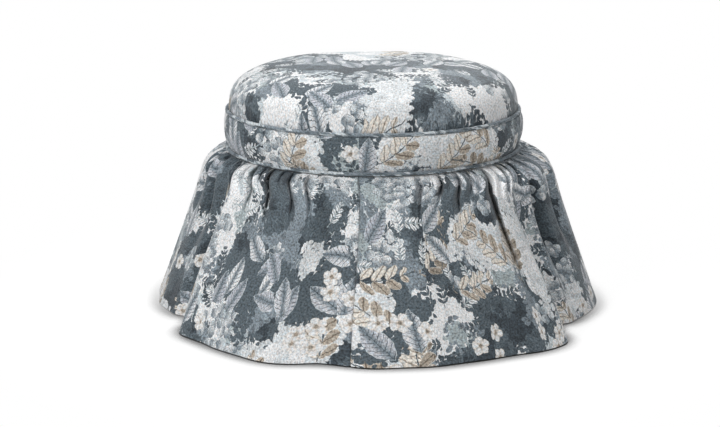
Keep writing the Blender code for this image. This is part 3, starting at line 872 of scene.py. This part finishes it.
def trees(paint, cloth):
    """Pale sky, distant trees, dark sprigs and near trees, with small leaves drawn on them.

    Gives their colour, the cloth's coordinates, and how much lighter or darker the drawn leaves are.
    """
    colour = paint.mix(foliage(paint, cloth, size=0.10, leaf=0.012, seed=51, level=0.59), SKY, MIST)
    cloth = paint.after(colour, cloth)
    distant = foliage(paint, cloth, size=0.15, leaf=0.010, seed=1, level=0.55)
    hazy = foliage(paint, cloth, size=0.07, leaf=0.010, seed=53, level=0.50)
    colour = paint.mix(distant, colour, paint.mix(hazy, MINT, HAZE))

    cloth = paint.after(colour, cloth)
    along, across, _, centre = scatter(paint, cloth, cell=0.042, seed=17, turn=1.5, spread=3.4)
    depth, _, stem = frond(
        along, across, length=0.050, pitch=0.0105, leaf_length=0.014, leaf_width=0.0040, lean=52, bend=5.0
    )
    present = chosen(paint, centre, size=0.19, seed=2, level=0.41)
    colour = paint.mix(paint.step(depth, 0.0, 0.0006).at_least(stem) * present, colour, SLATE)

    cloth = paint.after(colour, cloth)
    near = foliage(paint, cloth, size=0.19, leaf=0.0095, seed=2, level=0.485)
    dark = paint.mix(foliage(paint, cloth, size=0.06, leaf=0.010, seed=57, level=0.54), SLATE, DEEP)
    dark = paint.mix(foliage(paint, cloth, size=0.09, leaf=0.010, seed=61, level=0.60), dark, HAZE)
    colour = paint.mix(near, colour, dark)

    cloth = paint.after(colour, cloth)
    along, across, chance, _ = scatter(paint, cloth, cell=0.015, seed=23, turn=1.4, spread=3.6, jitter=0.8)
    depth, rib = broad_leaf(along, across, length=0.020, width=0.0062)
    leaf = paint.step(depth, 0.0, 0.0008)
    outline = leaf - paint.step(depth, 0.0009, 0.0016)
    drawing = leaf * (chance - 0.45) * 0.60 - (leaf * rib).at_least(outline) * 0.24
    colour = paint.shade(colour, 1 + drawing * (0.25 + 0.75 * near.at_least(distant)))
    return colour, cloth, drawing


def pale_sprigs(paint, colour, cloth):
    """Pale sprigs over the trees."""
    cloth = paint.after(colour, cloth)
    along, across, _, centre = scatter(paint, cloth, cell=0.048, seed=19, turn=1.5, spread=3.4)
    depth, rib, stem = frond(
        along, across, length=0.060, pitch=0.0115, leaf_length=0.015, leaf_width=0.0046, lean=54, bend=4.0
    )
    present = chosen(paint, centre, size=0.12, seed=41, level=0.57)
    colour = paint.mix(stem * present, colour, MINT)
    leaf = paint.mix(paint.step(rib, 0.0003, 0.0012), HAZE, SKY)
    return laid(paint, colour, depth, present, leaf, MINT, edge_width=0.0007), cloth


def round_leaves(paint, colour, cloth):
    """Clusters of round pale leaves. Also gives a number that differs from leaf to leaf."""
    for seed in (14, 15):
        cloth = paint.after(colour, cloth)
        along, across, chance, centre = scatter(paint, cloth, 0.023, seed, turn=1.5, spread=4.0, jitter=0.9)
        far = (along * along + across * across * 1.4) ** 0.5
        present = chosen(paint, centre, size=0.13, seed=43, level=0.62)
        veins = abs(((along + abs(across) * 0.7) * (1 / 0.0050)).fraction() - 0.5) < 0.10
        leaf = paint.mix(paint.step(along, -0.008, 0.008), HAZE, paint.mix(chance, MIST, SKY))
        leaf = paint.mix(veins * 0.5, leaf, SLATE)
        colour = laid(paint, colour, 0.0108 - far, present, leaf, SLATE, edge_width=0.0009)
    return colour, cloth, chance


def beige_sprays(paint, colour, cloth, mottle, drawing):
    """Sprays of beige leaves, half of each spray darker, on a pale ground."""
    cloth = paint.after(colour, cloth)
    ground = foliage(paint, cloth, size=0.18, leaf=0.011, seed=31, level=0.63)
    pale_ground = paint.shade(paint.mix(mottle * 0.7, SKY, MIST), 1 + drawing * 0.5)
    colour = paint.mix(ground, colour, pale_ground)
    for seed, turn in ((6, 0.9), (7, 2.1)):
        cloth = paint.after(colour, cloth)
        along, across, chance, centre = scatter(paint, cloth, 0.095, seed, turn, spread=1.6)
        depth, rib, stem = frond(
            along, across, length=0.125, pitch=0.0235, leaf_length=0.032, leaf_width=0.0098, lean=52, bend=3.0
        )
        present = chosen(paint, centre, size=0.18, seed=31, level=0.625)
        colour = paint.mix(stem * present, colour, SLATE)
        pale = across > 0.0
        blade = paint.mix(pale, paint.mix(chance, BEIGE, TAN), CREAM)
        leaf = paint.mix(paint.step(rib, 0.0004, 0.0016), paint.mix(pale, UMBER, TAN), blade)
        edge = paint.mix(pale, CREAM, TAN)
        colour = laid(paint, colour, depth, present, leaf, edge, edge_width=0.0012)
    return colour, cloth


def veined_leaves(paint, colour, cloth):
    """Broad veined leaves on a dark ground."""
    cloth = paint.after(colour, cloth)
    colour = paint.mix(foliage(paint, cloth, size=0.16, leaf=0.010, seed=47, level=0.60), colour, SLATE)
    for seed, turn in ((9, 1.0), (10, 2.2)):
        cloth = paint.after(colour, cloth)
        along, across, chance, centre = scatter(paint, cloth, 0.066, seed, turn, spread=1.8)
        depth, veins = broad_leaf(along, across, length=0.076, width=0.0185)
        present = chosen(paint, centre, size=0.16, seed=47, level=0.595)
        blade = paint.mix(paint.step(abs(across), 0.001, 0.011), HAZE, paint.mix(chance, LILAC, SKY))
        leaf = paint.mix(veins, blade, SLATE)
        colour = laid(paint, colour, depth, present, leaf, MIST, edge_width=0.0012)
    return colour, cloth


def blossoms(paint, colour, cloth):
    """Round blossoms, most of them towards the hem."""
    cloth = paint.after(colour, cloth)
    along, across, _, centre = scatter(paint, cloth, cell=0.042, seed=12, turn=0.0, spread=6.0)
    depth, far_out, petals = blossom(along, across, size=0.0165)
    _, low, _ = paint.parts(centre)
    spread = paint.noise(paint.moved(centre, 71.0, 93.0), 0.15, 1.0)
    present = (spread - paint.step(low, -0.30, -0.20) * 0.2) > 0.53
    petal = paint.mix(paint.step(far_out, 0.002, 0.007) * (0.4 + 0.6 * petals), BEIGE, SKY)
    petal = paint.mix(far_out < 0.0030, petal, TAN)
    return laid(paint, colour, depth, present, petal, CREAM, edge_width=0.0010)


def tapestry():
    """A generic woven foliage cloth in grey-blue, off-white and beige."""
    paint = new_paint("tapestry_weave")
    flat = paint.cloth()
    stray = paint.noise(flat, 1 / 110, 2.0, 0.6, "2D", "Color")
    cloth = paint.vector("MULTIPLY_ADD", stray, (0.005, 0.005, 0.0), flat)
    colour, cloth, drawing = trees(paint, cloth)
    colour, cloth = pale_sprigs(paint, colour, cloth)
    colour, cloth, mottle = round_leaves(paint, colour, cloth)
    colour, cloth = beige_sprays(paint, colour, cloth, mottle, drawing)
    colour, cloth = veined_leaves(paint, colour, cloth)
    return woven(paint, flat, blossoms(paint, colour, cloth))


def welt_cloth():
    """The plain slate edge of the same cloth, cut into strips for the welts."""
    paint = new_paint("welt_weave")
    flat = paint.cloth()
    cloud = paint.noise(paint.stretched(flat, 0.4, 1.0), 0.02, 3.0, 0.6)
    colour = paint.mix(paint.step(cloud, 0.38, 0.58), SLATE, HAZE)
    stretch = paint.noise(paint.stretched(flat, 1.0, 0.3), 0.035, 3.0, 0.6)
    colour = paint.mix(paint.step(stretch, 0.53, 0.56), colour, MIST)
    return woven(paint, flat, colour)


def woven(paint, flat, colour):
    """Ribs, picks and slubs of the weave, in threads that differ in colour, over the cloth's colours. The
    ribs and picks also lighten and darken the colour, as painted shade between the threads.
    """
    u, v, _ = paint.parts(flat)
    ribs = (u * (math.tau / 0.0026)).sine()
    picks = (v * (math.tau / 0.0021) + u * (math.tau / 0.0052)).sine()
    slub = paint.noise(flat, 0.0036, 2.0, 0.65) - 0.5
    thread = paint.noise(paint.moved(flat, 3.1, 7.7), 0.0042, 2.0, 0.6) - 0.5
    weave = ribs * 0.5 + picks * 0.5
    _, depth, _ = paint.parts(colour)
    # painted shade: lighter on the ribs and picks, darker between them; the slubs vary the tone at random
    light = 0.97 + 0.07 * weave + slub * (2.9 - 1.7 * depth)
    tint = paint.joined(light * (1 - 0.30 * thread), light, light * (1 + 0.20 * thread))
    colour = paint.vector("MULTIPLY", colour, tint)
    normal = paint.bump(weave * 0.5 + slub * 1.4, 0.0006, 0.7)
    return paint.surface(
        base_color=colour, roughness=0.92, sheen_weight=0.4, sheen_roughness=0.3, normal=normal
    )


# Linings, wood, fillings and metal


def cotton(name, vector_from):
    """A plain cotton weave; vector_from gives its coordinates on a piece."""
    paint = new_paint(name)
    flat = vector_from(paint)
    u, v, _ = paint.parts(flat)
    weave = (u * (math.tau / 0.0013)).sine() * (v * (math.tau / 0.0013)).sine()
    slub = paint.noise(paint.stretched(flat, 0.3, 1.0), 0.004, 3.0, 0.6)
    blotch = paint.noise(flat, 0.06, 3.0)
    colour = paint.two_tone(blotch * 0.6 + slub * 0.4, "d9d3c6", "c6beae")
    # painted shade: lighter on the threads, darker between them
    colour = paint.shade(colour, 0.97 + 0.05 * weave)
    normal = paint.bump(weave * 0.5 + slub, 0.0003, 0.6)
    return paint.surface(base_color=colour, roughness=0.94, sheen_weight=0.08, normal=normal)


def round_the_drum(paint):
    """Coordinates that run round the drum and up it, for cloth on a CAD node."""
    x, y, z = paint.parts(paint.solid())
    return paint.joined(x.turn_from(0.0 - y) * RIM.inner, z + (x * x + y * y) ** 0.5)


def plywood():
    paint = new_paint("birch_plywood")
    grain = paint.grain(0.006, 4.0, 0.6, (1.0, 0.06, 0.5))
    flame = paint.grain(0.05, 2.0, 0.5, (1.0, 0.18, 1.0))
    colour = paint.two_tone(grain * 0.5 + flame * 0.5, "dcc29a", "b78f61", 0.36, 0.62)
    _, _, z = paint.parts(paint.solid())
    ply = (z * (math.pi / 0.0021)).sine()
    _, _, up = paint.parts(paint.node("ShaderNodeNewGeometry", None, None, "Normal"))
    edge = abs(up) < 0.5
    colour = paint.mix(edge * paint.step(ply, -0.2, 0.2) * 0.6, colour, srgb("8f6a43"))
    normal = paint.bump(grain, 0.0003, 0.5)
    return paint.surface(base_color=colour, roughness=0.55 + 0.25 * grain, normal=normal)


def hardboard():
    paint = new_paint("brown_hardboard")
    fibre = paint.grain(0.0022, 4.0, 0.7)
    cloud = paint.grain(0.04, 3.0, 0.5)
    colour = paint.two_tone(fibre * 0.6 + cloud * 0.4, "6e5238", "a07c55")
    normal = paint.bump(fibre, 0.0004, 0.6)
    return paint.surface(base_color=colour, roughness=0.6 + 0.2 * fibre, normal=normal)


def strip_card():
    paint = new_paint("strip_card")
    fibre = paint.grain(0.003, 4.0, 0.7, (1.0, 1.0, 3.0))
    colour = paint.two_tone(fibre, "a8926e", "c7b48f")
    return paint.surface(base_color=colour, roughness=0.9, normal=paint.bump(fibre, 0.0002, 0.5))


def foam():
    paint = new_paint("cushion_foam")
    pores = paint.cells(paint.solid(), 0.0022, "Distance", 1.0, "3D")
    colour = paint.two_tone(paint.grain(0.05, 3.0, 0.5), "f0e2b6", "e3cf97")
    # painted shade: each pore darker towards its middle, where it is hollow
    colour = paint.shade(colour, 0.8 + 0.35 * pores)
    return paint.surface(base_color=colour, roughness=0.95, normal=paint.bump(pores, 0.0008, 0.7))


def wadding():
    paint = new_paint("polyester_wadding")
    fibres = paint.grain(0.004, 5.0, 0.75, (1.0, 1.0, 0.3))
    colour = paint.two_tone(fibres, "f1f1ee", "d9dad6")
    return paint.surface(base_color=colour, roughness=0.98, normal=paint.bump(fibres, 0.0015, 0.8))


def dust_fabric():
    paint = new_paint("black_dust_cloth")
    flat = paint.cloth()
    u, v, _ = paint.parts(flat)
    dots = (u * (math.tau / 0.0022)).sine() * (v * (math.tau / 0.0022)).sine()
    fibre = paint.noise(flat, 0.003, 4.0, 0.7)
    # painted shade: the weave's dots lighten and darken the colour a little
    colour = paint.two_tone(fibre + 0.15 * dots, "1e1e1f", "37373a")
    return paint.surface(base_color=colour, roughness=0.9, normal=paint.bump(dots + fibre, 0.0003, 0.6))


def foot_wood():
    paint = new_paint("stained_beech")
    grain = paint.grain(0.003, 4.0, 0.6, (1.0, 1.0, 0.08))
    colour = paint.two_tone(grain, "3a2618", "6a4a30")
    normal = paint.bump(grain, 0.0002, 0.5)
    return paint.surface(base_color=colour, roughness=0.35 + 0.25 * grain, coat_weight=0.2, normal=normal)


def glide_plastic():
    paint = new_paint("glide_nylon")
    scuff = paint.grain(0.004, 4.0, 0.7)
    colour = paint.two_tone(scuff, "232325", "4a4a4c", 0.4, 0.7)
    normal = paint.bump(scuff, 0.0002, 0.4)
    return paint.surface(base_color=colour, roughness=0.35 + 0.3 * scuff, normal=normal)


def screw_steel():
    paint = new_paint("zinc_steel")
    cast = paint.grain(0.003, 3.0, 0.6)
    colour = paint.two_tone(cast, "b9b6a8", "d5d5d2")
    normal = paint.bump(cast, 0.0001, 0.4)
    return paint.surface(base_color=colour, metallic=1.0, roughness=0.25 + 0.3 * cast, normal=normal)


def dress_frame(weave, welting, lining, dust):
    """Gives every CAD node its real finish."""
    finishes = {
        "tapestry": weave,
        "welt": welting,
        "lining": lining,
        "liner_card": cotton("liner_cotton", round_the_drum),
        "wadding": wadding(),
        "foam": foam(),
        "plywood": plywood(),
        "hardboard": hardboard(),
        "card": strip_card(),
        "dust_cloth": dust,
        "foot_wood": foot_wood(),
        "glide_plastic": glide_plastic(),
        "steel": screw_steel(),
    }
    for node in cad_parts.values():
        for place in node.material_slots:
            place.material = finishes[place.material.name]


# Studio


def seen_straight(paint):
    """1 for what the camera sees, also through glass and in gloss."""
    rays = ("Is Camera Ray", "Is Glossy Ray", "Is Transmission Ray")
    camera, gloss, glass = paint.node("ShaderNodeLightPath", None, None, rays)
    return (camera + gloss + glass).at_most(1.0)


def either(paint, share, first, second):
    return paint.node("ShaderNodeMixShader", None, {0: share, 1: first, 2: second})


def make_world():
    """White where the camera sees it, and a faint light from all round."""
    world = bpy.data.worlds.new("studio")
    bpy.context.scene.world = world
    paint = Paint(world)
    shown = paint.node("ShaderNodeBackground", None, {"Color": WHITE, "Strength": 1.0})
    light = paint.node("ShaderNodeBackground", None, {"Color": WHITE, "Strength": AMBIENT})
    both = either(paint, seen_straight(paint), light, shown)
    paint.feed(paint.tree.nodes["World Output"].inputs["Surface"], both)


def white_floor():
    """White for the camera, with the soft shadow close to the hem, which is strongest in front."""
    paint = new_paint("white_floor")
    x, y, _ = paint.parts(paint.solid())
    beyond = paint.step((x * x + y * y) ** 0.5, 0.45, 0.80)
    matt = paint.node("ShaderNodeBsdfDiffuse", None, {"Color": (0.75, 0.75, 0.75, 1.0)})
    seen_matt = paint.node("ShaderNodeBsdfDiffuse", None, {"Color": (0.2, 0.2, 0.2, 1.0)})
    open_floor = paint.node("ShaderNodeAmbientOcclusion", {"samples": 16}, {"Distance": 0.045}, "AO")
    in_front = 1 - paint.step(y, -0.25, 0.10)
    shadow = 1 - (1 - paint.step(open_floor, 0.68, 0.97)) * (0.2 + 0.8 * in_front)
    grey = paint.joined(shadow, shadow, shadow)
    glow = paint.node("ShaderNodeEmission", None, {"Color": grey, "Strength": 0.85})
    white = paint.node("ShaderNodeEmission", None, {"Color": WHITE, "Strength": 1.0})
    lit = paint.node("ShaderNodeAddShader", None, {0: seen_matt, 1: glow})
    both = either(paint, seen_straight(paint), matt, either(paint, beyond, lit, white))
    paint.feed(paint.tree.nodes["Material Output"].inputs["Surface"], both)
    return paint.owner


def make_floor():
    mesh = bpy.data.meshes.new("floor")
    corners = [(x * FLOOR_HALF, y * FLOOR_HALF, 0) for x, y in ((-1, -1), (1, -1), (1, 1), (-1, 1))]
    mesh.from_pydata(corners, [], [(0, 1, 2, 3)])
    floor = bpy.data.objects.new("floor", mesh)
    bpy.context.scene.collection.objects.link(floor)
    mesh.materials.append(white_floor())


def make_lamps():
    for name, place, size, power in LAMPS:
        lamp = bpy.data.lights.new(name, "AREA")
        lamp.size = size
        lamp.energy = power
        light = bpy.data.objects.new(name, lamp)
        light.location = place
        light.rotation_euler = (LAMPS_AIM - light.location).to_track_quat("-Z", "Y").to_euler()
        bpy.context.scene.collection.objects.link(light)


def make_camera():
    camera = bpy.data.objects.new("camera", bpy.data.cameras.new("camera"))
    camera.data.sensor_width = CAMERA_SENSOR
    camera.data.lens = CAMERA_LENS
    camera.location = CAMERA_PLACE
    camera.rotation_euler = (math.radians(90 - CAMERA_DOWN), 0.0, math.radians(CAMERA_TURN))
    bpy.context.scene.collection.objects.link(camera)
    bpy.context.scene.camera = camera


def main():
    bpy.context.scene.view_settings.view_transform = "Standard"
    make_camera()
    make_world()
    make_floor()
    make_lamps()
    weave = tapestry()
    welting = welt_cloth()
    lining = cotton("lining_cotton", Paint.cloth)
    dust = dust_fabric()
    dress_frame(weave, welting, lining, dust)
    make_skirt(weave, lining)
    make_lid(weave, welting, lining)
    make_rim_cloth(lining)
    make_under_cover(lining)
    make_dust_cloth(dust)


main()
